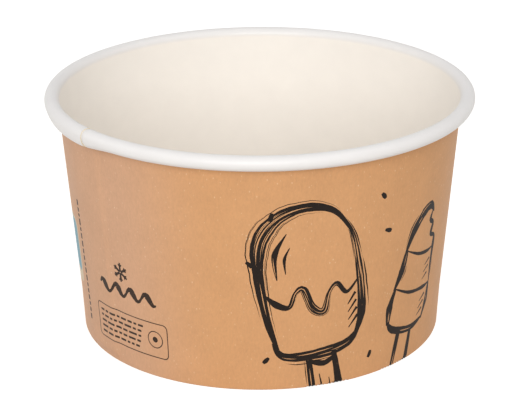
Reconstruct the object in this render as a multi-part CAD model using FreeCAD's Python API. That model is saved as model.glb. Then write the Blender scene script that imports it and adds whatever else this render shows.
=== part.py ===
"""Paper ice cream tub, open at the top: a rolled and folded side wall and a flanged base disc.

The tub is made the way it is made on a cup machine, from two pieces of coated board.
The side wall is one blank, wrapped into a cone with a lapped side seam. Its top edge is rolled
outwards into the rim, white side out, and its bottom edge is folded inwards and up as a hem.
The base disc has its edge turned down into a skirt, which the hem grips against the wall.

Millimetres, +Z up. The origin is on the tub's axis, in the plane that the foot stands on.
The front of the tub faces -Y, and an azimuth is counted from there towards +X.
"""
import FreeCAD, Part
import os
from math import acos, asin, atan2, ceil, cos, degrees, hypot, radians, sin, sqrt, tan

# Outside sizes
RIM_DIAMETER = 96.0
HEIGHT = 55.5
FOOT_DIAMETER = 81.5

# Board
WALL_BOARD = 0.35
DISC_BOARD = 0.35

# Rolled rim: the roll's outside, and how near its raw edge comes to the lapped wall
ROLL_DIAMETER = 3.3
ROLL_GAP = 0.12

# Base joint: the disc's top face, its turned edge, and the hem that grips it
FLOOR_HEIGHT = 8.0
FOOT_LEAN = 3.2
FOOT_BEND = 0.1
DISC_BEND = 0.7
WELD_GAP = 0.02
HEM_GAP = 1.4

# The knee, where the wall starts to flare: its height above the base disc, and its soft bend
KNEE_RISE = 1.0
KNEE_RADIUS = 20.0

# Side seam
SEAM_AZIMUTH = -55.7
LAP_WIDTH = 7.5
RAMP_WIDTH = 2.5

# Round bends of the board are drawn as flats that leave the true arc by this much at most
FLAT_ERROR = 0.06

AXIS = FreeCAD.Vector(0, 0, 1)
ORIGIN = FreeCAD.Vector(0, 0, 0)


def run(length):
    """A straight stretch of board, as one step of a path."""
    return length, 0.0


def bend(radius, turn):
    """A bend of the board: radius on the path's own side, turn in degrees, leftwards positive."""
    return radius, turn


def corner_cut(radius, turn):
    """How far a bend of this radius and turn starts before the corner that it rounds off."""
    return radius * tan(radians(abs(turn)) / 2.0)


def flats(radius, turn):
    """How many flats a bend needs, for its radius on the board's outer side."""
    return ceil(radians(abs(turn)) / (2.0 * acos(1.0 - FLAT_ERROR / radius)))


def trace(start, lean, steps, board, depth):
    """Points (r, z) along a path, moved to the right of its travel by depth.

    lean is the heading in degrees, counted from straight up towards +r. board is the thickness
    that sets the number of flats, so that paths at different depths have matching points.
    """
    heading = radians(lean)
    r = start[0] + depth * cos(heading)
    z = start[1] - depth * sin(heading)
    points = [(r, z)]
    for size, turn in steps:
        if turn == 0.0:
            r += size * sin(heading)
            z += size * cos(heading)
            points.append((r, z))
            continue
        side = 1.0 if turn > 0.0 else -1.0
        radius = size + side * depth
        centre_r = r - side * radius * cos(heading)
        centre_z = z + side * radius * sin(heading)
        count = flats(max(size, size + side * board), turn)
        for index in range(1, count + 1):
            angle = heading - radians(turn) * index / count
            r = centre_r + side * radius * cos(angle)
            z = centre_z - side * radius * sin(angle)
            points.append((r, z))
        heading -= radians(turn)
    return points


def ribbon(start, lean, steps, board, near, far):
    """The section of a board that lies between two depths beside a path, in the plane y = 0."""
    inner = trace(start, lean, steps, board, near)
    outer = trace(start, lean, steps, board, far)
    outline = inner + outer[::-1] + inner[:1]
    return Part.makePolygon([FreeCAD.Vector(r, 0, z) for r, z in outline])


def turned(wire, azimuth):
    """The section wire, carried round the axis to an azimuth."""
    copy = wire.copy()
    copy.rotate(ORIGIN, AXIS, azimuth - 90.0)
    return copy


def swept(wire, first_azimuth, last_azimuth):
    """The solid that the section covers between two azimuths."""
    face = Part.Face(turned(wire, first_azimuth))
    return face.revolve(ORIGIN, AXIS, last_azimuth - first_azimuth)


def above_ground(solid):
    """The seam is pressed flush where it crosses the foot: nothing stays below the ground plane."""
    reach = 2.0 * RIM_DIAMETER
    half_space = Part.makeBox(reach, reach, reach, FreeCAD.Vector(-reach / 2.0, -reach / 2.0, 0.0))
    return solid.common(half_space)


def foot_corner():
    """Where the wall's inside line and the fold's floor meet, as (r, z)."""
    return FOOT_DIAMETER / 2.0 - WALL_BOARD * cos(radians(FOOT_LEAN)), WALL_BOARD


def wall_path():
    """The white side of the wall's section, from the hem's free edge to the roll's raw edge."""
    lean = radians(FOOT_LEAN)
    foot_r, foot_z = foot_corner()

    # The fold: two tight bends with a flat between them, round the skirt and its two weld films
    flat = (DISC_BOARD + 2.0 * WELD_GAP) / cos(lean)
    inner_turn = 90.0 + FOOT_LEAN
    outer_turn = 90.0 - FOOT_LEAN
    inner_cut = corner_cut(FOOT_BEND, inner_turn)
    outer_cut = corner_cut(FOOT_BEND, outer_turn)

    # The hem's leg stands on the fold's inner bend and ends under the base disc
    hem_length = (FLOOR_HEIGHT - DISC_BOARD - HEM_GAP - foot_z) / cos(lean)
    start = (foot_r - flat + hem_length * sin(lean), foot_z + hem_length * cos(lean))

    # The knee, and the tangent from there to the roll
    knee_rise = FLOOR_HEIGHT + KNEE_RISE - foot_z
    roll_radius = ROLL_DIAMETER / 2.0
    to_roll_r = RIM_DIAMETER / 2.0 - roll_radius - foot_r - knee_rise * tan(lean)
    to_roll_z = HEIGHT - roll_radius - FLOOR_HEIGHT - KNEE_RISE
    reach = hypot(to_roll_r, to_roll_z)
    wall_lean = atan2(to_roll_r, to_roll_z) - asin(roll_radius / reach)
    wall_length = sqrt(reach ** 2 - roll_radius ** 2)
    knee_turn = degrees(wall_lean) - FOOT_LEAN
    knee_cut = corner_cut(KNEE_RADIUS, knee_turn)

    # The roll goes over its top, down past its outermost point and under, and past its lowest
    # point it goes on until its raw edge nearly meets the lapped wall
    room = roll_radius - (2.0 * WALL_BOARD + ROLL_GAP) / cos(wall_lean)
    last_turn = degrees(asin(room / roll_radius))

    steps = [
        run(hem_length - inner_cut),
        bend(FOOT_BEND, inner_turn),
        run(flat - inner_cut - outer_cut),
        bend(FOOT_BEND, outer_turn),
        run(knee_rise / cos(lean) - outer_cut - knee_cut),
        bend(KNEE_RADIUS, -knee_turn),
        run(wall_length - knee_cut),
        bend(roll_radius, degrees(wall_lean) - 90.0),
        bend(roll_radius, -90.0),
        bend(roll_radius, -90.0),
        bend(roll_radius, -last_turn),
    ]
    return start, FOOT_LEAN + 180.0, steps


def side_wall():
    """The wall: one blank, single board nearly all round and double where its ends lap.

    The end on the seam's left runs under the other one, against the filling, and is cut square at
    the seam's azimuth. The other end rises over it from the right, and stops a lap's width further on.
    """
    start, lean, steps = wall_path()
    single = ribbon(start, lean, steps, WALL_BOARD, 0.0, WALL_BOARD)
    raised = ribbon(start, lean, steps, WALL_BOARD, WALL_BOARD, 2.0 * WALL_BOARD)
    double = ribbon(start, lean, steps, WALL_BOARD, 0.0, 2.0 * WALL_BOARD)

    seam_radius = (FOOT_DIAMETER + RIM_DIAMETER - 2.0 * ROLL_DIAMETER) / 4.0
    lap = degrees(LAP_WIDTH / seam_radius)
    ramp = degrees(RAMP_WIDTH / seam_radius)
    over_end = SEAM_AZIMUTH - lap
    ramp_end = SEAM_AZIMUTH + ramp

    plain = swept(single, ramp_end, over_end + 360.0)
    lapped = above_ground(swept(double, over_end, SEAM_AZIMUTH))
    risers = [turned(raised, SEAM_AZIMUTH), turned(single, ramp_end)]
    rising = above_ground(Part.makeLoft(risers, True, True))
    return plain.fuse([lapped, rising]).removeSplitter()


def base_disc():
    """The base: a flat disc whose edge is turned down into a skirt, parallel to the foot's wall."""
    lean = radians(FOOT_LEAN)
    foot_r, foot_z = foot_corner()

    # Where the skirt's outside line, a weld film inside the wall, passes the disc's top face
    skirt_r = foot_r + (FLOOR_HEIGHT - foot_z) * tan(lean) - WELD_GAP / cos(lean)
    edge_turn = 90.0 + FOOT_LEAN
    bend_cut = corner_cut(DISC_BEND, edge_turn)
    skirt_end_z = foot_z + FOOT_BEND + WELD_GAP
    skirt_length = (FLOOR_HEIGHT - skirt_end_z) / cos(lean) - bend_cut

    steps = [run(skirt_r - bend_cut), bend(DISC_BEND, -edge_turn), run(skirt_length)]
    section = ribbon((0.0, FLOOR_HEIGHT), 90.0, steps, DISC_BOARD, 0.0, DISC_BOARD)
    return swept(section, 0.0, 360.0)


def one_solid(shape):
    """The shape's only solid, so that each piece is written as one closed body."""
    if len(shape.Solids) != 1:
        raise ValueError("a piece came out as %d solids" % len(shape.Solids))
    return shape.Solids[0]


os.makedirs("parts", exist_ok=True)
PIECES = {"side_wall": side_wall(), "base_disc": base_disc()}
for name, shape in PIECES.items():
    solid = one_solid(shape)
    solid.exportStep("parts/%s.step" % name)
    box = solid.BoundBox
    print(name, "valid", solid.isValid(), "volume %.1f" % solid.Volume,
          "z %.3f to %.3f" % (box.ZMin, box.ZMax), "x %.3f to %.3f" % (box.XMin, box.XMax))
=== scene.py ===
import bisect
import math
import random

import bpy
import numpy as np
from mathutils import Matrix, Vector
from mathutils.geometry import delaunay_2d_cdt


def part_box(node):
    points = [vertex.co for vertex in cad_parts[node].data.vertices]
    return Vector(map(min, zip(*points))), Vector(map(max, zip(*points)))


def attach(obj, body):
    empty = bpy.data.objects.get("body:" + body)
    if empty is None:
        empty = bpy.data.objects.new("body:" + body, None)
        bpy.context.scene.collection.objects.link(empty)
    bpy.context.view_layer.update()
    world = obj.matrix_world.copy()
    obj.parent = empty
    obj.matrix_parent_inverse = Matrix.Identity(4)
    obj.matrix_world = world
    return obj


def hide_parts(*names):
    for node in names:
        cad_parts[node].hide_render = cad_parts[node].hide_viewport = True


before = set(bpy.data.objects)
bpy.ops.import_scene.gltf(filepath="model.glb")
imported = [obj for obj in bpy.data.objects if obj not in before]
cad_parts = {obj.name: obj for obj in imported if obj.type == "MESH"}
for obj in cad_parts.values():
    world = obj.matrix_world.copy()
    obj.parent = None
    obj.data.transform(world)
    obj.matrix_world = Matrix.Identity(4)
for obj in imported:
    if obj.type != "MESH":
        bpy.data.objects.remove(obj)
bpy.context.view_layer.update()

# The side wall
# One blank of coated and printed paper board, wrapped into a cone and heat-sealed down one side.
# Its foot is folded up inside over the base disc's skirt and pressed there with a ribbed tool,
# and its top is rolled outwards, white side out, into the rim.

MM = 0.001
BOARD = 0.35 * MM
DISC_BOARD = 0.35 * MM
WELD_GAP = 0.02 * MM
FOOT_RADIUS = 40.75 * MM
FOOT_LEAN = math.radians(3.2)
FOOT_BEND = 0.1 * MM
HEM_GAP = 1.4 * MM
KNEE_RISE = 1.0 * MM
KNEE_RADIUS = 20.0 * MM
ROLL_RADIUS = 1.65 * MM
ROLL_GAP = 0.12 * MM

wall_low, wall_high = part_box("side_wall")
_, disc_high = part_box("base_disc")
rim_radius = (wall_high.x - wall_low.x) / 2
tub_height = wall_high.z
floor_height = disc_high.z


def follow(stretch, distance):
    """Radius, height and heading a distance along a run or a bend of the board."""
    _, length, r, z, heading, size, turn = stretch
    if turn == 0.0:
        return r + distance * math.sin(heading), z + distance * math.cos(heading), heading
    side = math.copysign(1.0, turn)
    centre_r = r - side * size * math.cos(heading)
    centre_z = z + side * size * math.sin(heading)
    heading -= turn * distance / length
    return centre_r + side * size * math.cos(heading), centre_z - side * size * math.sin(heading), heading


def lay_board(start, heading, steps):
    """The board's stretches from steps that are runs (length, 0) and bends (radius, turn)."""
    stretches = []
    along = 0.0
    r, z = start
    for size, turn in steps:
        length = size * abs(turn) if turn else size
        stretches.append((along, length, r, z, heading, size, turn))
        r, z, heading = follow(stretches[-1], length)
        along += length
    return stretches


def corner_cut(radius, turn):
    """How much of each run a bend between them takes up."""
    return radius * math.tan(abs(turn) / 2)


# In section the blank's white side runs from the hem's free edge down to the fold, round the
# foot, up the wall past a soft knee, and round the roll.
quarter = math.pi / 2
foot_r = FOOT_RADIUS - BOARD * math.cos(FOOT_LEAN)
fold_flat = (DISC_BOARD + 2 * WELD_GAP) / math.cos(FOOT_LEAN)
inner_cut = corner_cut(FOOT_BEND, quarter + FOOT_LEAN)
outer_cut = corner_cut(FOOT_BEND, quarter - FOOT_LEAN)
hem_length = (floor_height - DISC_BOARD - HEM_GAP - BOARD) / math.cos(FOOT_LEAN)
hem_top = (foot_r - fold_flat + hem_length * math.sin(FOOT_LEAN), BOARD + hem_length * math.cos(FOOT_LEAN))
knee_rise = floor_height + KNEE_RISE - BOARD
to_roll = Vector((rim_radius - ROLL_RADIUS - foot_r - knee_rise * math.tan(FOOT_LEAN),
                  tub_height - ROLL_RADIUS - floor_height - KNEE_RISE))
wall_lean = math.atan2(to_roll.x, to_roll.y) - math.asin(ROLL_RADIUS / to_roll.length)
wall_length = math.sqrt(to_roll.length ** 2 - ROLL_RADIUS ** 2)
knee_cut = corner_cut(KNEE_RADIUS, wall_lean - FOOT_LEAN)
roll_room = ROLL_RADIUS - (2 * BOARD + ROLL_GAP) / math.cos(wall_lean)
roll_turn = 3 * quarter - wall_lean + math.asin(roll_room / ROLL_RADIUS)

bends = lay_board(hem_top, math.pi + FOOT_LEAN, [
    (hem_length - inner_cut, 0.0),
    (FOOT_BEND, quarter + FOOT_LEAN),
    (fold_flat - inner_cut - outer_cut, 0.0),
    (FOOT_BEND, quarter - FOOT_LEAN),
    (knee_rise / math.cos(FOOT_LEAN) - outer_cut - knee_cut, 0.0),
    (KNEE_RADIUS, FOOT_LEAN - wall_lean),
    (wall_length - knee_cut, 0.0),
    (ROLL_RADIUS, -roll_turn),
])
HEM, INNER_BEND, FOLD_FLAT, OUTER_BEND, FOOT_BAND, KNEE, CONE, ROLL = range(8)
bend_starts = [stretch[0] for stretch in bends]
blank_height = bends[ROLL][0] + bends[ROLL][1]


def section(along):
    """Radius, height and heading of the white side at a length along it."""
    stretch = bends[max(0, bisect.bisect_right(bend_starts, along) - 1)]
    return follow(stretch, along - stretch[0])


# The blank's end on the left of the seam lies inside. The other end rises over it from the
# right and stops a lap's width on. At the fold the lap is pressed to about one board's thickness,
# but in the roll its doubled board hangs lower than the rest. The roll has its white side out, so
# there the inner end lies on top, and its cut edge stands above a shallow groove. The sag is
# placed in degrees from the seam.
SEAM_AZIMUTH = -51.9
LAP_WIDTH = 9.5 * MM
RAMP_WIDTH = 2.5 * MM
GROOVE_WIDTH = 0.9 * MM
GROOVE_SHARE = 0.5
SEAL_FILM = 0.01 * MM
LAP_SAG = 1.05 * MM
SAG_STARTS, SAG_FULL, SAG_EASES, SAG_ENDS = -30.0, -14.0, -4.0, 12.0
seam_radius = (FOOT_RADIUS + rim_radius - 2 * ROLL_RADIUS) / 2
OVER_EDGE = SEAM_AZIMUTH - math.degrees(LAP_WIDTH / seam_radius)
UNDER_EDGE = SEAM_AZIMUTH + 360.0
ramp_end = SEAM_AZIMUTH + math.degrees(RAMP_WIDTH / seam_radius)
groove_end = SEAM_AZIMUTH + math.degrees(GROOVE_WIDTH / seam_radius)

# The press crushes the lap within half a millimetre of the fold's middle and eases off by two, and
# over about a degree at the lap's end. Its ribs start below the hem's free edge and end above the
# fold.
CRUSHED, CRUSH_ENDS = 0.5 * MM, 2.0 * MM
CRUSH_TURN = 1.2
RIB_DEPTH = 0.11 * MM
RIBS_START, RIBS_FULL = 0.3 * MM, 1.0 * MM
RIBS_EASE, RIBS_END = 1.6 * MM, 0.8 * MM
RIBS = 108
COLUMNS_PER_RIB = 3
press_centre = bends[FOLD_FLAT][0] + bends[FOLD_FLAT][1] / 2
rib_columns = COLUMNS_PER_RIB * RIBS
column_step = (UNDER_EDGE - OVER_EDGE) / rib_columns


def smooth(low, high, value):
    """Rises softly from 0 at low to 1 at high."""
    share = min(1.0, max(0.0, (value - low) / (high - low)))
    return share * share * (3 - 2 * share)


def board_place(azimuth, along, printed):
    """A point of the wall on its printed or its white side."""
    over = 1 - smooth(SEAM_AZIMUTH, ramp_end if printed else groove_end, azimuth)
    if azimuth >= SEAM_AZIMUTH and not printed:
        over *= GROOVE_SHARE
    under = smooth(OVER_EDGE + 360.0 - CRUSH_TURN, OVER_EDGE + 360.0, azimuth)
    press = (1 - smooth(CRUSHED, CRUSH_ENDS, abs(along - press_centre))) / 2
    depth = over * (BOARD + SEAL_FILM) * (1 - press)
    if printed:
        depth += BOARD * (1 - press * max(over, under))
        if along < hem_length:
            ribbed = smooth(RIBS_START, RIBS_FULL, along)
            ribbed *= 1 - smooth(hem_length - RIBS_EASE, hem_length - RIBS_END, along)
            rib_turn = math.tau * (azimuth - OVER_EDGE) / (COLUMNS_PER_RIB * column_step)
            depth -= RIB_DEPTH * ribbed * (0.5 - 0.5 * math.cos(rib_turn))
    r, z, heading = section(along)
    r += depth * math.cos(heading)
    z -= depth * math.sin(heading)
    drop = tub_height - ROLL_RADIUS - z
    if along > bends[ROLL][0] and drop > 0.0:
        off_seam = (azimuth - SEAM_AZIMUTH + 180.0) % 360.0 - 180.0
        lap_near = smooth(SAG_STARTS, SAG_FULL, off_seam) * (1 - smooth(SAG_EASES, SAG_ENDS, off_seam))
        z -= LAP_SAG * drop / ROLL_RADIUS * lap_near
    turn = math.radians(azimuth)
    return Vector((r * math.sin(turn), -r * math.cos(turn), max(z, 0.0)))


# A normal is found from points this far to each side, in degrees and along the board
NUDGE_TURN = 0.05
NUDGE = 0.01 * MM


def board_normal(azimuth, along, printed):
    """The outward normal of that side, which shades it smoothly whatever its faces are."""
    before = azimuth if azimuth == SEAM_AZIMUTH else azimuth - NUDGE_TURN
    across = board_place(azimuth + NUDGE_TURN, along, printed) - board_place(before, along, printed)
    low, high = max(0.0, along - NUDGE), min(blank_height, along + NUDGE)
    up = board_place(azimuth, high, printed) - board_place(azimuth, low, printed)
    normal = across.cross(up).normalized()
    return normal if printed else -normal


# The print is flexo ink in flat fields: loose brush drawings of ice lollies that run off at the
# foot, and small print by the seam. A shape is an outline in millimetres, x round and y up the
# wall. Its straight sides are kept short, so that they follow the cone, and a loaded brush draws
# wider than the widths that its strokes give. The print runs round the foot on to the fold.
PRINT_RADIUS = 43.0 * MM
LONGEST_SIDE = 0.7
BRUSH_LOAD = 1.35
BARE_FOLD = 0.25
print_foot = bends[OUTER_BEND][0]
print_lowest = bends[FOLD_FLAT][0] + BARE_FOLD * bends[FOLD_FLAT][1]
BARE, BROWN_INK, FINE_INK, BLUE_INK, PALE_INK = range(5)
ink_shapes = []


def lay_ink(ink, outline, azimuth=0.0, rise=0.0, tilt=0.0, size=1.0):
    """Lays an outline on the blank: turned by tilt, scaled, and set at an azimuth and height."""
    cosine, sine = math.cos(math.radians(tilt)), math.sin(math.radians(tilt))
    placed = []
    for (x0, y0), (x1, y1) in zip(outline, outline[1:] + outline[:1]):
        parts = math.ceil(size * math.hypot(x1 - x0, y1 - y0) / LONGEST_SIDE)
        for part in range(parts):
            x, y = x0 + (x1 - x0) * part / parts, y0 + (y1 - y0) * part / parts
            across = size * (x * cosine - y * sine) + math.radians(azimuth) * PRINT_RADIUS / MM
            up = size * (x * sine + y * cosine) + rise + print_foot / MM
            placed.append((across, max(print_lowest / MM, up)))
    ink_shapes.append((ink, placed))


# An unsteady hand widens and narrows a stroke by these shares, this fast along its points
WOBBLES = ((0.08, 2.3), (0.04, 7), (0.02, 19))


def brush_path(points, widths, seed, step=0.35):
    """A brush's smooth way through points: places, side vectors and widths."""
    rng = random.Random(seed)
    phases = [rng.uniform(0, math.tau) for _ in WOBBLES]
    path = []
    count = len(points)
    for index in range(count - 1):
        p0 = Vector(points[max(index - 1, 0)])
        p1, p2 = Vector(points[index]), Vector(points[index + 1])
        p3 = Vector(points[min(index + 2, count - 1)])
        curve, twist = 2 * p0 - 5 * p1 + 4 * p2 - p3, 3 * p1 - p0 - 3 * p2 + p3
        pieces = max(2, round((p2 - p1).length / step))
        for piece in range(pieces + (index == count - 2)):
            t = piece / pieces
            place = 0.5 * (2 * p1 + (p2 - p0) * t + curve * t * t + twist * t * t * t)
            way = (p2 - p0) + 2 * curve * t + 3 * twist * t * t
            width = widths[index] * (1 - t) + widths[index + 1] * t
            wobble = sum(share * math.sin(rate * (index + t) + phase)
                         for (share, rate), phase in zip(WOBBLES, phases))
            side = Vector((-way.y, way.x)).normalized()
            path.append((place, side, BRUSH_LOAD * width * (1 + wobble)))
    return path


def brush_band(path, start=0.0, end=1.0, offset=0.0, width=None):
    """The outline of a stroke, or of one bristle's line in it, tapered to its ends."""
    first, last = round(start * (len(path) - 1)), round(min(1.0, end) * (len(path) - 1))
    left, right = [], []
    for index in range(first, last + 1):
        place, side, full = path[index]
        share = (index - first) / max(1, last - first)
        half = full / 2 if width is None else width / 2 * math.sin(math.pi * min(0.97, max(0.03, share)))
        middle = place + side * offset * full
        left.append(tuple(middle + side * half))
        right.append(tuple(middle - side * half))
    return left + right[::-1]


def brush(points, widths, seed, where, hairs=0, slits=0, ink=BROWN_INK):
    """One stroke: its body, dry slits where the bristles part, and stray hairs beside it."""
    path = brush_path(points, widths, seed)
    rng = random.Random(seed + 500)
    lay_ink(ink, brush_band(path), **where)
    for _ in range(slits):
        start = rng.uniform(0.10, 0.62)
        end = start + rng.uniform(0.12, 0.34)
        slit = brush_band(path, start, end, rng.uniform(-0.34, 0.34), rng.uniform(0.10, 0.19))
        lay_ink(BARE, slit, **where)
    for _ in range(hairs):
        start = rng.uniform(0.05, 0.45)
        beside = rng.choice((-1, 1)) * rng.uniform(0.62, 0.85)
        end = start + rng.uniform(0.25, 0.50)
        lay_ink(ink, brush_band(path, start, end, beside, rng.uniform(0.12, 0.24)), **where)


def classic_lolly(seed, **where):
    """A round-topped lolly dipped in a running coating, on a flat stick that runs off the foot."""
    brush([(-7.4, 1.2), (-8.5, 8), (-8.6, 17), (-7.3, 22.8), (-3.6, 26.4), (1.2, 27.2), (5.4, 25.4),
           (7.8, 21)],
          [0.3, 1.0, 1.5, 1.9, 1.7, 1.2, 0.7, 0.12], seed, where, hairs=5, slits=9)
    brush([(6.2, 25.2), (8.2, 20), (8.8, 12), (8.4, 4.6), (6.6, 0.6)],
          [0.1, 0.6, 1.0, 1.4, 0.3], seed + 1, where, hairs=4, slits=6)
    brush([(-8.3, 3.4), (-6.6, 0.4), (-0.4, -0.5), (5.2, -0.1), (8.2, 2.6)],
          [0.15, 1.1, 1.6, 1.2, 0.12], seed + 2, where, hairs=2, slits=5)
    brush([(-8.2, 12.6), (-6.4, 10.4), (-4.4, 9.6), (-3.0, 12.0), (-1.5, 12.4), (-0.4, 8.6), (1.4, 7.4),
           (2.8, 10.6), (4.4, 11.8), (6.0, 9.6), (8.5, 11.6)],
          [0.2, 0.9, 0.7, 0.5, 0.8, 1.1, 0.9, 0.5, 0.7, 0.5, 0.2], seed + 3, where, hairs=1, slits=4)
    brush([(-5.7, 15.0), (-5.4, 19.6), (-2.9, 23.2)], [0.1, 0.75, 0.1], seed + 4, where, slits=1)
    brush([(-4.1, 15.8), (-3.9, 18.6), (-2.7, 20.6)], [0.08, 0.4, 0.08], seed + 15, where)
    brush([(-2.4, -0.6), (-2.5, -7), (-2.3, -16)], [0.9, 0.8, 0.8], seed + 5, where, hairs=1, slits=1)
    brush([(2.3, -0.7), (2.5, -7), (2.4, -16)], [0.7, 1.1, 0.9], seed + 6, where, slits=1)
    brush([(-2.2, -1.6), (0.2, -2.6), (2.2, -1.9)], [0.5, 0.9, 0.6], seed + 7, where)
    brush([(-0.9, -4.4), (-0.7, -8), (-0.9, -12)], [0.1, 0.3, 0.1], seed + 8, where)
    brush([(0.8, -5.6), (0.9, -9), (0.7, -15)], [0.1, 0.25, 0.1], seed + 9, where)
    for line in range(4):
        low = 2.6 + 1.5 * line
        brush([(5.6 + 0.1 * line, low), (7.6, low + 1.9)], [0.12, 0.4], seed + 10 + line, where)


def rocket_lolly(seed, **where):
    """A slim lolly in three rising steps, with a bite out of its shoulder."""
    brush([(-5.2, 0.8), (-5.7, 4), (-5.3, 7.4)], [0.5, 1.1, 0.4], seed, where, slits=1)
    brush([(-5.6, 7.0), (-4.7, 10.5), (-4.5, 14.2)], [0.3, 1.2, 0.5], seed + 1, where, hairs=1, slits=1)
    brush([(-4.7, 13.8), (-3.7, 17.4), (-1.6, 20.6), (0.4, 21.6), (2.0, 20.4)],
          [0.3, 1.1, 1.4, 1.1, 0.15], seed + 2, where, hairs=2, slits=2)
    brush([(1.6, 20.9), (1.2, 19.0), (2.5, 18.3), (2.4, 16.4), (4.0, 15.9), (4.4, 14.0)],
          [0.2, 0.7, 0.5, 0.7, 0.5, 0.8], seed + 3, where)
    brush([(4.4, 14.2), (4.9, 10.6), (5.7, 7.2)], [0.7, 0.5, 0.2], seed + 4, where, hairs=1)
    brush([(5.5, 7.6), (5.9, 4.2), (5.2, 0.9)], [0.3, 0.9, 0.3], seed + 5, where, slits=1)
    brush([(-5.4, 1.2), (-3.4, -0.2), (1.6, -0.3), (5.5, 1.4)],
          [0.2, 1.1, 1.0, 0.15], seed + 6, where, slits=1)
    brush([(-5.2, 7.3), (-1.0, 6.4), (3.6, 6.8), (5.6, 7.5)], [0.15, 0.5, 0.6, 0.1], seed + 7, where)
    brush([(-4.3, 14.0), (-0.6, 13.2), (2.6, 13.4), (4.3, 14.1)], [0.15, 0.45, 0.5, 0.1], seed + 8, where)
    brush([(-1.8, -0.4), (-1.9, -7), (-1.8, -16)], [0.8, 0.7, 0.7], seed + 9, where, slits=1)
    brush([(1.7, -0.4), (1.9, -7), (1.8, -16)], [0.6, 0.9, 0.8], seed + 10, where)
    for line in range(3):
        low = 1.6 + 1.3 * line
        brush([(3.2, low), (4.7, low + 1.4)], [0.1, 0.35], seed + 11 + line, where)
        brush([(2.5, low + 6.6), (3.9, low + 7.8)], [0.1, 0.3], seed + 14 + line, where)


def sprinkles(seed, azimuth, spots):
    """Short fat dashes scattered between the lollies."""
    rng = random.Random(seed)
    for x, y in spots:
        lean = rng.uniform(0, math.pi)
        reach = rng.uniform(0.8, 1.2)
        tip = (reach * math.cos(lean), reach * math.sin(lean))
        where = dict(azimuth=azimuth + math.degrees(x * MM / PRINT_RADIUS), rise=y)
        stroke = [(-tip[0], -tip[1]), (0.1, 0.0), tip]
        brush(stroke, [0.5, 0.8, 0.45], seed + round(10 * x + y), where)


SPRINKLE_SPOTS = [(-19, 30), (-15.5, 7), (-14.5, 41), (10.5, 42.5), (12.5, 34), (9.5, 5)]
for face_azimuth, seed in ((22.0, 100), (176.0, 300)):
    classic_lolly(seed, azimuth=face_azimuth - 4.0, rise=8.5, tilt=9.0, size=1.27)
    rocket_lolly(seed + 60, azimuth=face_azimuth + 28.0, rise=8.0, tilt=-12.0, size=1.3)
    sprinkles(seed + 120, face_azimuth, SPRINKLE_SPOTS)

# A snow star over a wavy line, right of the seam
MARK = dict(azimuth=-44.0, rise=18.2)
wave = [(-8.8 + 0.8 * part, 1.15 * math.sin(0.2 + 1.1 * part)) for part in range(23)]
wave_widths = [0.2] + [0.8 + 0.4 * math.sin(1.1 * part - 0.9) for part in range(1, 22)] + [0.12]
brush(wave, wave_widths, 41, MARK, ink=FINE_INK)
star = Vector((-1.2, 4.6))
for arm in range(6):
    tip = Vector((math.cos(math.radians(60 * arm + 30)), math.sin(math.radians(60 * arm + 30))))
    side = Vector((-tip.y, tip.x))
    brush([tuple(star + tip * 0.15), tuple(star + tip * 1.2), tuple(star + tip * 2.3)],
          [0.42, 0.46, 0.34], 50 + arm, MARK, ink=FINE_INK)
    for way in (-1, 1):
        brush([tuple(star + tip * 1.3), tuple(star + tip * 1.9 + side * 0.55 * way)], [0.32, 0.24],
              60 + arm, MARK, ink=FINE_INK)


def rounded_box(left, low, right, high, corner):
    """The outline of a box with round corners."""
    outline = []
    for turn, x, y in ((0, right - corner, high - corner), (1, left + corner, high - corner),
                       (2, left + corner, low + corner), (3, right - corner, low + corner)):
        for part in range(7):
            angle = quarter * (turn + part / 6)
            outline.append((x + corner * math.cos(angle), y + corner * math.sin(angle)))
    return outline


# A ruled box with a ring and lines of bars, under the wave
LABEL_AZIMUTH = -44.2
LABEL_HALF, LABEL_LOW, LABEL_HIGH, LABEL_CORNER = 11.4, 4.5, 13.0, 1.2
RULE_WIDTH = 0.24
RING_X, RING_Y = 7.9, 8.9
RING_RADIUS, DOT_RADIUS = 2.1, 0.7
BARS_LEFT, BARS_RIGHT, SHORTEST_END = -9.9, 4.6, 1.0
LINES, FIRST_LINE, LINE_PITCH = 5, 11.3, 1.32
BAR_GAP, BAR_HALF, BAR_CORNER = 0.5, 0.26, 0.12
for ink, inset in ((FINE_INK, 0.0), (BARE, RULE_WIDTH)):
    box = rounded_box(inset - LABEL_HALF, LABEL_LOW + inset, LABEL_HALF - inset, LABEL_HIGH - inset,
                      LABEL_CORNER - inset)
    lay_ink(ink, box, LABEL_AZIMUTH)
circle = [(math.cos(math.tau * part / 28), math.sin(math.tau * part / 28)) for part in range(28)]
for ink, reach in ((FINE_INK, RING_RADIUS), (BARE, RING_RADIUS - RULE_WIDTH), (FINE_INK, DOT_RADIUS)):
    lay_ink(ink, [(RING_X + reach * x, RING_Y + reach * y) for x, y in circle], LABEL_AZIMUTH)
rng = random.Random(7)
for line in range(LINES):
    y = FIRST_LINE - LINE_PITCH * line
    x = BARS_LEFT
    while x < BARS_RIGHT - SHORTEST_END:
        bar = rng.uniform(0.8, 2.6)
        box = rounded_box(x, y - BAR_HALF, min(BARS_RIGHT, x + bar), y + BAR_HALF, BAR_CORNER)
        lay_ink(FINE_INK, box, LABEL_AZIMUTH)
        x += bar + BAR_GAP

# A column of dashes left of the seam
DASHES_AZIMUTH = 292.0
DASHES_LOW, DASHES_HIGH = 5.5, 34.0
DASH_LEFT, DASH_RIGHT, DASH_CORNER = -0.5, 0.4, 0.15
y = DASHES_LOW
while y < DASHES_HIGH:
    dash = rng.uniform(0.6, 1.6)
    lay_ink(FINE_INK, rounded_box(DASH_LEFT, y, DASH_RIGHT, y + dash, DASH_CORNER), DASHES_AZIMUTH)
    y += dash + BAR_GAP

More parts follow.
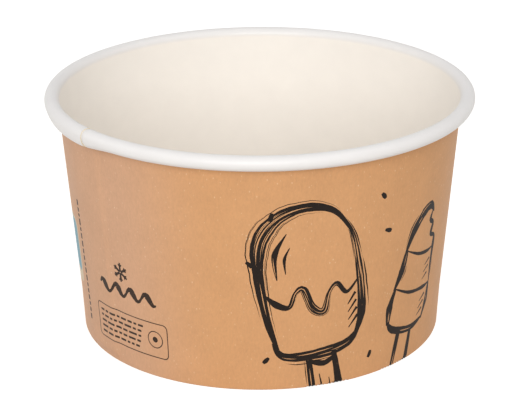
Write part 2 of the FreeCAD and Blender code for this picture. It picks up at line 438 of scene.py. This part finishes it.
# A plain blue panel with a pale border, where the print turns away to the left
PANEL_AZIMUTH = 273.0
PANEL_HALF, PANEL_CORNER = 11.0, 2.4
for ink, inset, low, high in ((PALE_INK, 0.0, 12.6, 28.6), (BLUE_INK, 0.7, 15.4, 27.9)):
    panel = rounded_box(inset - PANEL_HALF, low, PANEL_HALF - inset, high, PANEL_CORNER - inset)
    lay_ink(ink, panel, PANEL_AZIMUTH)

# The blank is meshed as a closed sheet: a white side and a printed side of grid faces, with the
# wall's printed part cut along the ink's outlines, and the four raw edges between them. Tight
# bends get rows close together, and the groove beside the seam gets columns of its own.
GROOVE_COLUMNS = 4
GRID = {HEM: 12, INNER_BEND: 4, FOLD_FLAT: 2, OUTER_BEND: 6, FOOT_BAND: 8, KNEE: 2, CONE: 24, ROLL: 40}
rows = [stretch[0] + stretch[1] * part / GRID[kind]
        for kind, stretch in enumerate(bends) for part in range(GRID[kind])]
rows.append(blank_height)
print_first = rows.index(bends[FOLD_FLAT][0])
print_last = rows.index(bends[ROLL][0])
azimuths = sorted([OVER_EDGE + column_step * column for column in range(rib_columns + 1)]
                  + [SEAM_AZIMUTH + part / GROOVE_COLUMNS * (groove_end - SEAM_AZIMUTH)
                     for part in range(GROOVE_COLUMNS + 1)])
columns = len(azimuths) - 1
spots = [(azimuth, along, printed) for printed in (False, True) for along in rows for azimuth in azimuths]


def spot_index(printed, row, column):
    """A grid point's place in the list: printed is 0 on the white side and 1 on the printed one."""
    return (printed * len(rows) + row) * (columns + 1) + column


def sheet_squares(index, row, column):
    """A square of a sheet's grid on its first side and on its second, each facing outwards."""
    corners = ((row, column), (row + 1, column), (row + 1, column + 1), (row, column + 1))
    return [index(0, *corner) for corner in corners], [index(1, *corners[k]) for k in (0, 3, 2, 1)]


WHITE_SIDE, RAW_EDGE, GROUND = 0, 1, 2
faces, finishes = [], []


def lay_face(corners, finish):
    """Adds a face to the wall."""
    faces.append(corners)
    finishes.append(finish)


for row in range(len(rows) - 1):
    for column in range(columns):
        white_square, printed_square = sheet_squares(spot_index, row, column)
        lay_face(white_square, WHITE_SIDE)
        if not print_first <= row < print_last:
            lay_face(printed_square, GROUND)
    for column, turned in ((0, False), (columns, True)):
        corners = [spot_index(0, row, column), spot_index(1, row, column),
                   spot_index(1, row + 1, column), spot_index(0, row + 1, column)]
        lay_face(corners[::-1] if turned else corners, RAW_EDGE)
for column in range(columns):
    for row, turned in ((0, False), (len(rows) - 1, True)):
        corners = [spot_index(0, row, column), spot_index(0, row, column + 1),
                   spot_index(1, row, column + 1), spot_index(1, row, column)]
        lay_face(corners[::-1] if turned else corners, RAW_EDGE)

# The printed part is cut while it lies flat, and each corner that a cut makes joins the spots.
MERGE_LIMIT = 1e-4
flat_places, flat_spots, flat_edges = [], [], []
for row in range(print_first, print_last + 1):
    for column in range(columns + 1):
        flat_spots.append(spot_index(1, row, column))
        flat_places.append((math.radians(azimuths[column]) * PRINT_RADIUS / MM, rows[row] / MM))
for _, outline in ink_shapes:
    first = len(flat_places)
    flat_places += outline
    flat_edges += [(first + k, first + (k + 1) % len(outline)) for k in range(len(outline))]
cut_places, _, cut_faces, came_from, _, _ = delaunay_2d_cdt(
    [Vector(place) for place in flat_places], flat_edges, [], 0, MERGE_LIMIT, True)
cut_spots = []
for place, origins in zip(cut_places, came_from):
    gridded = [k for k in origins if k < len(flat_spots)]
    if gridded:
        cut_spots.append(flat_spots[gridded[0]])
    else:
        cut_spots.append(len(spots))
        spots.append((math.degrees(place.x * MM / PRINT_RADIUS), place.y * MM, True))

# A cut face takes the last ink whose outline holds its centre, found by counting the outline's
# sides that pass it on the way round.
cut_array = np.array([tuple(place) for place in cut_places])
centres = cut_array[np.array(cut_faces)].mean(axis=1)
inks = np.zeros(len(cut_faces), int)
for ink, outline in ink_shapes:
    start = np.array(outline)
    end = np.roll(start, -1, axis=0)
    boxed = (centres >= start.min(axis=0)) & (centres <= start.max(axis=0))
    near = np.all(boxed, axis=1).nonzero()[0]
    x, y = centres[near, :1], centres[near, 1:]
    turns = (end[:, 0] - start[:, 0]) * (y - start[:, 1]) - (x - start[:, 0]) * (end[:, 1] - start[:, 1])
    rising = (start[:, 1] <= y) & (end[:, 1] > y) & (turns > 0)
    falling = (start[:, 1] > y) & (end[:, 1] <= y) & (turns < 0)
    inks[near[rising.sum(axis=1) != falling.sum(axis=1)]] = ink
for corners, ink in zip(cut_faces, inks):
    lay_face([cut_spots[corner] for corner in corners], GROUND + int(ink))


def make_piece(name, places, faces, materials, finishes, loop_normals, blank_places):
    """A mesh object in the frame, with a finish for each face and a normal for each corner."""
    mesh = bpy.data.meshes.new(name)
    mesh.from_pydata([tuple(place) for place in places], [], faces)
    for material in materials:
        mesh.materials.append(material)
    mesh.polygons.foreach_set("material_index", finishes)
    mesh.polygons.foreach_set("use_smooth", [True] * len(faces))
    attribute = mesh.attributes.new("blank_mm", "FLOAT_VECTOR", "POINT")
    attribute.data.foreach_set("vector", [value for place in blank_places for value in place])
    mesh.normals_split_custom_set(loop_normals)
    piece = bpy.data.objects.new(name, mesh)
    bpy.context.scene.collection.objects.link(piece)
    return piece


places = [board_place(*spot) for spot in spots]
normals = [board_normal(*spot) for spot in spots]
loop_normals = []
for corners, finish in zip(faces, finishes):
    if finish == RAW_EDGE:
        first, second, third, fourth = (places[corner] for corner in corners)
        loop_normals += [(third - first).cross(fourth - second).normalized()] * 4
    else:
        loop_normals += [normals[corner] for corner in corners]
blank_places = [(math.radians(azimuth) * PRINT_RADIUS / MM, along / MM, float(printed))
                for azimuth, along, printed in spots]


# The wall's finishes
def linear(hex_colour):
    """An sRGB hex colour as the linear values that a shader takes."""
    channels = [int(hex_colour[k:k + 2], 16) / 255 for k in (1, 3, 5)]
    return [c / 12.92 if c <= 0.04045 else ((c + 0.055) / 1.055) ** 2.4 for c in channels] + [1.0]


def add_node(tree, kind, inputs=None, **settings):
    """Adds a node; an input takes a value, a socket, or another node for its first output."""
    made = tree.nodes.new(kind)
    for name, value in settings.items():
        setattr(made, name, value)
    for socket, value in (inputs or {}).items():
        if isinstance(value, bpy.types.Node):
            value = value.outputs[0]
        if isinstance(value, bpy.types.NodeSocket):
            tree.links.new(value, made.inputs[socket])
        else:
            made.inputs[socket].default_value = value
    return made


def new_material(name):
    """An empty node material and its tree."""
    material = bpy.data.materials.new(name)
    material.use_nodes = True
    material.node_tree.nodes.clear()
    return material, material.node_tree


# Kraft-look board: a brown flexo ground over white board, under a water-based varnish. The eye
# sees warm brown with pale fibre flecks drawn out up the wall, and a low satin sheen. Real flecks
# are under 0.1 mm wide, too fine to show, so they are drawn 0.2 mm wide. A painted sheen colours the
# ground paler and pinker towards the blank's two ends, round the seam on the wall's left, where the
# light from the left falls. All these sizes are in the blank's millimetres.
FLECK_WIDTH = 0.22
FLECK_SPACING = 3.2
FLECK_REACHES = (0.03, 0.24)
FLECK_PATCH = 9.0
GRAIN_WIDTH = 0.35
GRAIN_DRAW = 0.55
STREAK_WIDTH = 0.5
STREAK_DRAW = 0.30
MOTTLE = 7.0
PAINTED_SHEEN_SHARE = 0.6
SHEEN_FROM_RIGHT_END, SHEEN_FROM_LEFT_END = (-8.0, -34.0), (200.0, 218.0)


def kraft_board(name, colour, fleck_colour, fleck_share, fleck_strength, mottle_strength, painted_sheen_colour=None):
    """The brown ground, or an ink on it, with its mottle, streaks, grain and flecks, and on the ground a
    painted sheen towards the blank's ends.
    """
    material, tree = new_material(name)
    blank = add_node(tree, "ShaderNodeAttribute", attribute_name="blank_mm").outputs["Vector"]
    upright, drawn = (
        add_node(tree, "ShaderNodeVectorMath", {0: blank, 1: (1.0, draw, 1.0)}, operation="MULTIPLY")
        for draw in (GRAIN_DRAW, STREAK_DRAW))
    mottle = add_node(tree, "ShaderNodeTexNoise", {
        "Vector": blank, "Scale": 1 / MOTTLE, "Detail": 3.0, "Roughness": 0.6})
    streaks = add_node(tree, "ShaderNodeTexNoise", {
        "Vector": drawn, "Scale": 1 / STREAK_WIDTH, "Detail": 2.0})
    grain = add_node(tree, "ShaderNodeTexNoise", {
        "Vector": upright, "Scale": 1 / GRAIN_WIDTH, "Detail": 2.0})
    tone = add_node(tree, "ShaderNodeMath", {0: mottle, 1: streaks}, operation="ADD")
    tone = add_node(tree, "ShaderNodeMath", {0: tone, 1: grain}, operation="ADD")
    tone = add_node(tree, "ShaderNodeMapRange", {
        "Value": tone, "From Min": 1.0, "From Max": 2.0,
        "To Min": 1 - mottle_strength, "To Max": 1 + mottle_strength})
    flecks = add_node(tree, "ShaderNodeTexVoronoi", {
        "Vector": upright, "Scale": 1 / (FLECK_SPACING * FLECK_WIDTH), "Randomness": 1.0})
    chosen = add_node(tree, "ShaderNodeSeparateColor", {0: flecks.outputs["Color"]})
    reach = add_node(tree, "ShaderNodeMapRange", {
        "Value": chosen, "From Min": 1 - fleck_share, "From Max": 1.0,
        "To Min": FLECK_REACHES[0], "To Max": FLECK_REACHES[1]})
    patches = add_node(tree, "ShaderNodeTexNoise", {
        "Vector": blank, "Scale": 1 / FLECK_PATCH, "Detail": 2.0})
    plenty = add_node(tree, "ShaderNodeMapRange", {
        "Value": patches, "From Min": 0.35, "From Max": 0.65,
        "To Min": 0.5 * fleck_strength, "To Max": 1.3 * fleck_strength})
    fleck = add_node(tree, "ShaderNodeMapRange", {
        "Value": flecks.outputs["Distance"], "From Min": reach, "From Max": 0.0,
        "To Min": 0.0, "To Max": plenty})
    ground = linear(colour)
    # Painted sheen: the ground turns paler and pinker towards the blank's ends, where the light from the
    # left falls.
    if painted_sheen_colour:
        across = add_node(tree, "ShaderNodeSeparateXYZ", {0: blank}).outputs["X"]
        right, left = (
            add_node(tree, "ShaderNodeMapRange", {
                "Value": across, "From Min": inner, "From Max": outer, "To Min": 0.0, "To Max": PAINTED_SHEEN_SHARE},
                interpolation_type="SMOOTHSTEP")
            for inner, outer in (SHEEN_FROM_RIGHT_END, SHEEN_FROM_LEFT_END))
        ends = add_node(tree, "ShaderNodeMath", {0: right, 1: left}, operation="ADD")
        ground = add_node(tree, "ShaderNodeMix", {0: ends, 6: ground, 7: linear(painted_sheen_colour)},
                          data_type="RGBA").outputs[2]
    toned = add_node(tree, "ShaderNodeMix", {0: 1.0, 6: ground, 7: tone},
                     data_type="RGBA", blend_type="MULTIPLY").outputs[2]
    flecked = add_node(tree, "ShaderNodeMix", {0: fleck, 6: toned, 7: linear(fleck_colour)},
                       data_type="RGBA").outputs[2]
    bump = add_node(tree, "ShaderNodeBump", {"Height": grain, "Strength": 0.12, "Distance": 0.02 * MM})
    shader = add_node(tree, "ShaderNodeBsdfPrincipled", {
        "Base Color": flecked, "Normal": bump, "Roughness": 0.55, "IOR": 1.26,
        "Coat Weight": 0.05, "Coat Roughness": 0.3, "Coat IOR": 1.4})
    add_node(tree, "ShaderNodeOutputMaterial", {"Surface": shader})
    return material


# The last colour is the painted sheen's, towards the blank's ends.
printed_board = kraft_board("kraft_look_printed_board", "#d7a171", "#f2d6b2", 0.85, 0.85, 0.075, "#d5ac92")
brown_ink = kraft_board("dark_brown_flexo_ink", "#180e07", "#7a5c40", 0.35, 0.7, 0.25)
fine_ink = kraft_board("grey_brown_flexo_ink", "#35271e", "#8a6b4c", 0.4, 0.7, 0.15)
blue_ink = kraft_board("light_blue_flexo_ink", "#7daab9", "#a9c2c4", 0.3, 0.6, 0.06)
pale_ink = kraft_board("pale_flexo_ink", "#e0cdb0", "#ecdfc9", 0.3, 0.6, 0.05)

# Clay- and PE-coated white board: the eye sees smooth cream white with a soft sheen and a barely
# visible cloudiness from the fibres beneath. Painted shade: the roll is coloured greyer than the
# same board inside the tub.
CLOUD_SIZE = 5.0
FELT_SIZE = 0.6
RIM_SHADE_FADE = 0.4
roll_start = bends[ROLL][0] / MM
white_board, tree = new_material("coated_white_board")
blank = add_node(tree, "ShaderNodeAttribute", attribute_name="blank_mm").outputs["Vector"]
cloud = add_node(tree, "ShaderNodeTexNoise", {
    "Vector": blank, "Scale": 1 / CLOUD_SIZE, "Detail": 4.0, "Roughness": 0.6})
cloud_tone = add_node(tree, "ShaderNodeMapRange", {
    "Value": cloud, "From Min": 0.3, "From Max": 0.7, "To Min": 0.985, "To Max": 1.01})
height = add_node(tree, "ShaderNodeSeparateXYZ", {0: blank}).outputs["Y"]
# Painted shade: over the roll the board's colour turns from the cream of the inside to a greyer white.
painted_rim_shade = add_node(tree, "ShaderNodeMapRange", {
    "Value": height, "From Min": roll_start - RIM_SHADE_FADE, "From Max": roll_start + RIM_SHADE_FADE})
stock = add_node(tree, "ShaderNodeMix", {0: painted_rim_shade, 6: linear("#f9f3eb"), 7: linear("#edeae8")},
                 data_type="RGBA").outputs[2]
white = add_node(tree, "ShaderNodeMix", {0: 1.0, 6: stock, 7: cloud_tone},
                 data_type="RGBA", blend_type="MULTIPLY").outputs[2]
felt = add_node(tree, "ShaderNodeTexNoise", {"Vector": blank, "Scale": 1 / FELT_SIZE, "Detail": 3.0})
felt_bump = add_node(tree, "ShaderNodeBump", {"Height": felt, "Strength": 0.10, "Distance": 0.02 * MM})
shader = add_node(tree, "ShaderNodeBsdfPrincipled", {
    "Base Color": white, "Normal": felt_bump, "Roughness": 0.45, "IOR": 1.5,
    "Coat Weight": 0.2, "Coat Roughness": 0.3})
add_node(tree, "ShaderNodeOutputMaterial", {"Surface": shader})

# Cut board edge: the eye sees the bare cream fibre core, matt, in faint layers.
FIBRE_LAYER = 0.25
raw_edge, tree = new_material("cut_board_edge")
blank = add_node(tree, "ShaderNodeAttribute", attribute_name="blank_mm").outputs["Vector"]
fibres = add_node(tree, "ShaderNodeTexNoise", {"Vector": blank, "Scale": 1 / FIBRE_LAYER, "Detail": 3.0})
fibre_tone = add_node(tree, "ShaderNodeMapRange", {
    "Value": fibres, "From Min": 0.3, "From Max": 0.7, "To Min": 0.9, "To Max": 1.05})
core = add_node(tree, "ShaderNodeMix", {0: 1.0, 6: linear("#e6d8bd"), 7: fibre_tone},
                data_type="RGBA", blend_type="MULTIPLY").outputs[2]
shader = add_node(tree, "ShaderNodeBsdfPrincipled", {"Base Color": core, "Roughness": 0.85, "IOR": 1.45})
add_node(tree, "ShaderNodeOutputMaterial", {"Surface": shader})

side_wall = make_piece("printed_wall", places, faces,
                       [white_board, raw_edge, printed_board, brown_ink, fine_ink, blue_ink, pale_ink],
                       finishes, loop_normals, blank_places)
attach(side_wall, "root")
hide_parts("side_wall")

# The base disc
# A round of the same board, coated side up, with its edge drawn down into a skirt. The skirt is
# welded between the wall's foot and the hem, and drawing it leaves fine pleats round the bend.

DISC_BEND = 0.7 * MM
DISC_SAG = 0.25 * MM
PLEAT_DEPTH = 0.05 * MM
PLEATS = 72
PLEAT_REACH = 3.0 * MM
PLEAT_DRIFT, DRIFT_WAVES = 2, 5
COLUMNS_PER_PLEAT = 4
disc_columns = COLUMNS_PER_PLEAT * PLEATS
skirt_r = foot_r + (floor_height - BOARD) * math.tan(FOOT_LEAN) - WELD_GAP / math.cos(FOOT_LEAN)
disc_cut = corner_cut(DISC_BEND, quarter + FOOT_LEAN)
skirt_end = BOARD + FOOT_BEND + WELD_GAP
disc_bends = lay_board((0.0, floor_height), quarter, [
    (skirt_r - disc_cut, 0.0),
    (DISC_BEND, -quarter - FOOT_LEAN),
    ((floor_height - skirt_end) / math.cos(FOOT_LEAN) - disc_cut, 0.0),
])
disc_run, bend_run, skirt_run = (stretch[1] for stretch in disc_bends)
disc_length = disc_run + bend_run + skirt_run

# The rows of the disc's grid crowd towards the bend
disc_rows = ([disc_run * share for share in (0.12, 0.24, 0.36, 0.48, 0.6, 0.7, 0.8, 0.88, 0.93, 0.97)]
             + [disc_run + bend_run * part / 8 for part in range(9)]
             + [disc_run + bend_run + skirt_run * part / 4 for part in range(1, 5)])


def disc_place(azimuth, along, below):
    """A point of the disc on its coated side or below it."""
    stretch = disc_bends[(along > disc_run) + (along > disc_run + bend_run)]
    r, z, heading = follow(stretch, along - stretch[0])
    turn = math.radians(azimuth)
    depth = DISC_BOARD if below else 0.0
    near_bend = smooth(disc_run - PLEAT_REACH, disc_run, along)
    near_bend *= 1 - smooth(disc_run + bend_run, disc_run + bend_run + PLEAT_REACH, along)
    pleat_turn = PLEATS * turn + PLEAT_DRIFT * math.sin(DRIFT_WAVES * turn)
    depth += PLEAT_DEPTH * near_bend * (0.5 + 0.5 * math.cos(pleat_turn))
    depth += DISC_SAG * (1 - smooth(0.0, disc_run, along))
    r += depth * math.cos(heading)
    z -= depth * math.sin(heading)
    return Vector((r * math.sin(turn), -r * math.cos(turn), z))


def disc_normal(azimuth, along, below):
    """The outward normal of that side, away from the middle point."""
    step = 2 * NUDGE_TURN
    across = disc_place(azimuth + step, along, below) - disc_place(azimuth - step, along, below)
    low, high = along - NUDGE, min(disc_length, along + NUDGE)
    out = disc_place(azimuth, high, below) - disc_place(azimuth, low, below)
    normal = out.cross(across).normalized()
    return -normal if below else normal


disc_spots = [(0.0, 0.0, below) for below in (False, True)]
disc_spots += [(360.0 * column / disc_columns, along, below)
               for below in (False, True) for along in disc_rows for column in range(disc_columns)]


def disc_index(below, row, column):
    """A grid point's place in the list, after the two middle points."""
    return 2 + (below * len(disc_rows) + row) * disc_columns + column % disc_columns


COATED, UNCOATED, CUT = 0, 1, 2
last = len(disc_rows) - 1
disc_faces, disc_finishes = [], []
for column in range(disc_columns):
    disc_faces.append([0, disc_index(0, 0, column), disc_index(0, 0, column + 1)])
    disc_faces.append([1, disc_index(1, 0, column + 1), disc_index(1, 0, column)])
    disc_finishes += [COATED, UNCOATED]
    for row in range(last):
        disc_faces += sheet_squares(disc_index, row, column)
        disc_finishes += [COATED, UNCOATED]
    disc_faces.append([disc_index(0, last, column), disc_index(1, last, column),
                       disc_index(1, last, column + 1), disc_index(0, last, column + 1)])
    disc_finishes.append(CUT)

disc_places = [disc_place(*spot) for spot in disc_spots]
disc_normals = [Vector((0, 0, 1)), Vector((0, 0, -1))] + [disc_normal(*spot) for spot in disc_spots[2:]]
disc_loops = []
for corners, finish in zip(disc_faces, disc_finishes):
    disc_loops += [Vector((0, 0, -1)) if finish == CUT else disc_normals[corner] for corner in corners]

# Uncoated board: the eye sees the same stock in a duller, yellower cream, matt and felted.
FELTING_SIZE = 1.5
plain_board, tree = new_material("uncoated_board")
where = add_node(tree, "ShaderNodeAttribute", attribute_name="blank_mm").outputs["Vector"]
felting = add_node(tree, "ShaderNodeTexNoise", {
    "Vector": where, "Scale": 1 / FELTING_SIZE, "Detail": 5.0, "Roughness": 0.65})
felting_tone = add_node(tree, "ShaderNodeMapRange", {
    "Value": felting, "From Min": 0.3, "From Max": 0.7, "To Min": 0.94, "To Max": 1.03})
plain = add_node(tree, "ShaderNodeMix", {0: 1.0, 6: linear("#eadfc9"), 7: felting_tone},
                 data_type="RGBA", blend_type="MULTIPLY").outputs[2]
felting_bump = add_node(tree, "ShaderNodeBump", {"Height": felting, "Strength": 0.3, "Distance": 0.03 * MM})
shader = add_node(tree, "ShaderNodeBsdfPrincipled", {
    "Base Color": plain, "Normal": felting_bump, "Roughness": 0.8, "IOR": 1.45})
add_node(tree, "ShaderNodeOutputMaterial", {"Surface": shader})

base_disc = make_piece("coated_disc", disc_places, disc_faces, [white_board, plain_board, raw_edge],
                       disc_finishes, disc_loops, [tuple(place / MM) for place in disc_places])
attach(base_disc, "root")
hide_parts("base_disc")

# The studio
# A white sweep under soft light: a big low softbox in front, weaker ones at the sides, and an even
# white room. The sweep burns out to white and keeps a trace of the tub's shadow.

SWEEP_HALF = 3.0
SWEEP_GLOW = 0.72
ROOM_FILL = 0.51
WHITE = (1.0, 1.0, 1.0, 1.0)


def seen_share(tree):
    """1 where the camera sees a surface, straight or by way of a shiny or clear one, and else 0."""
    paths = add_node(tree, "ShaderNodeLightPath").outputs
    seen = add_node(tree, "ShaderNodeMath", {0: paths["Is Camera Ray"], 1: paths["Is Glossy Ray"]},
                    operation="MAXIMUM")
    return add_node(tree, "ShaderNodeMath", {0: seen, 1: paths["Is Transmission Ray"]}, operation="MAXIMUM")


sweep_material, tree = new_material("white_paper_sweep")
lift = add_node(tree, "ShaderNodeMath", {0: seen_share(tree), 1: SWEEP_GLOW}, operation="MULTIPLY")
paper = add_node(tree, "ShaderNodeBsdfDiffuse", {"Color": linear("#d2d0cc")})
glow = add_node(tree, "ShaderNodeEmission", {"Color": WHITE, "Strength": lift})
lit = add_node(tree, "ShaderNodeAddShader", {0: paper, 1: glow})
add_node(tree, "ShaderNodeOutputMaterial", {"Surface": lit})

sweep_mesh = bpy.data.meshes.new("paper_sweep")
sweep_mesh.from_pydata([(-SWEEP_HALF, -SWEEP_HALF, 0), (SWEEP_HALF, -SWEEP_HALF, 0),
                        (SWEEP_HALF, SWEEP_HALF, 0), (-SWEEP_HALF, SWEEP_HALF, 0)], [], [(0, 1, 2, 3)])
sweep_mesh.materials.append(sweep_material)
sweep = bpy.data.objects.new("paper_sweep", sweep_mesh)
bpy.context.scene.collection.objects.link(sweep)

room = bpy.data.worlds.new("white_room")
room.use_nodes = True
tree = room.node_tree
tree.nodes.clear()
fill = add_node(tree, "ShaderNodeBackground", {"Color": WHITE, "Strength": ROOM_FILL})
backdrop = add_node(tree, "ShaderNodeBackground", {"Color": WHITE, "Strength": 1.0})
both = add_node(tree, "ShaderNodeMixShader", {0: seen_share(tree), 1: fill, 2: backdrop})
add_node(tree, "ShaderNodeOutputWorld", {"Surface": both})
bpy.context.scene.world = room

LIGHT_AIM = Vector((0.0, 0.0, 0.03))


def softbox(name, place, width, height, power):
    """An area light that faces the tub's middle, in metres and watts."""
    lamp = bpy.data.lights.new(name, "AREA")
    lamp.shape = "RECTANGLE"
    lamp.size, lamp.size_y = width, height
    lamp.energy = power
    box = bpy.data.objects.new(name, lamp)
    box.location = place
    box.rotation_euler = (LIGHT_AIM - Vector(place)).to_track_quat("-Z", "Y").to_euler()
    bpy.context.scene.collection.objects.link(box)


softbox("front_softbox", place=(-0.08, -1.05, 0.50), width=0.9, height=0.6, power=7.35)
softbox("left_strip", place=(-0.75, 0.05, 0.32), width=0.35, height=0.5, power=0.6)
softbox("right_softbox", place=(0.55, -0.20, 0.95), width=0.5, height=0.5, power=0.95)

# The camera stands where the photograph was taken from, 21 degrees up and 0.47 m away, with a long
# lens. The lens is measured in pixels of the photograph's width.
CAMERA_DISTANCE = 467.4 * MM
CAMERA_RISE = math.radians(21.33)
CAMERA_ROLL = math.radians(-0.34)
CAMERA_TARGET = Vector((-0.09 * MM, 0.0, 26.12 * MM))
FOCAL_PIXELS, PHOTO_PIXELS = 2045.5, 520
SENSOR_WIDTH = 36.0
back = Vector((0.0, -math.cos(CAMERA_RISE), math.sin(CAMERA_RISE)))
lens = bpy.data.cameras.new("photo_camera")
lens.sensor_width = SENSOR_WIDTH
lens.lens = SENSOR_WIDTH * FOCAL_PIXELS / PHOTO_PIXELS
lens.clip_start, lens.clip_end = 0.05, 20.0
camera = bpy.data.objects.new("photo_camera", lens)
camera.location = CAMERA_TARGET + back * CAMERA_DISTANCE
camera.rotation_mode = "QUATERNION"
facing = (-back).to_track_quat("-Z", "Y").to_matrix()
camera.rotation_quaternion = (facing @ Matrix.Rotation(CAMERA_ROLL, 3, "Z")).to_quaternion()
bpy.context.scene.collection.objects.link(camera)
bpy.context.scene.camera = camera
bpy.context.scene.view_settings.view_transform = "Standard"
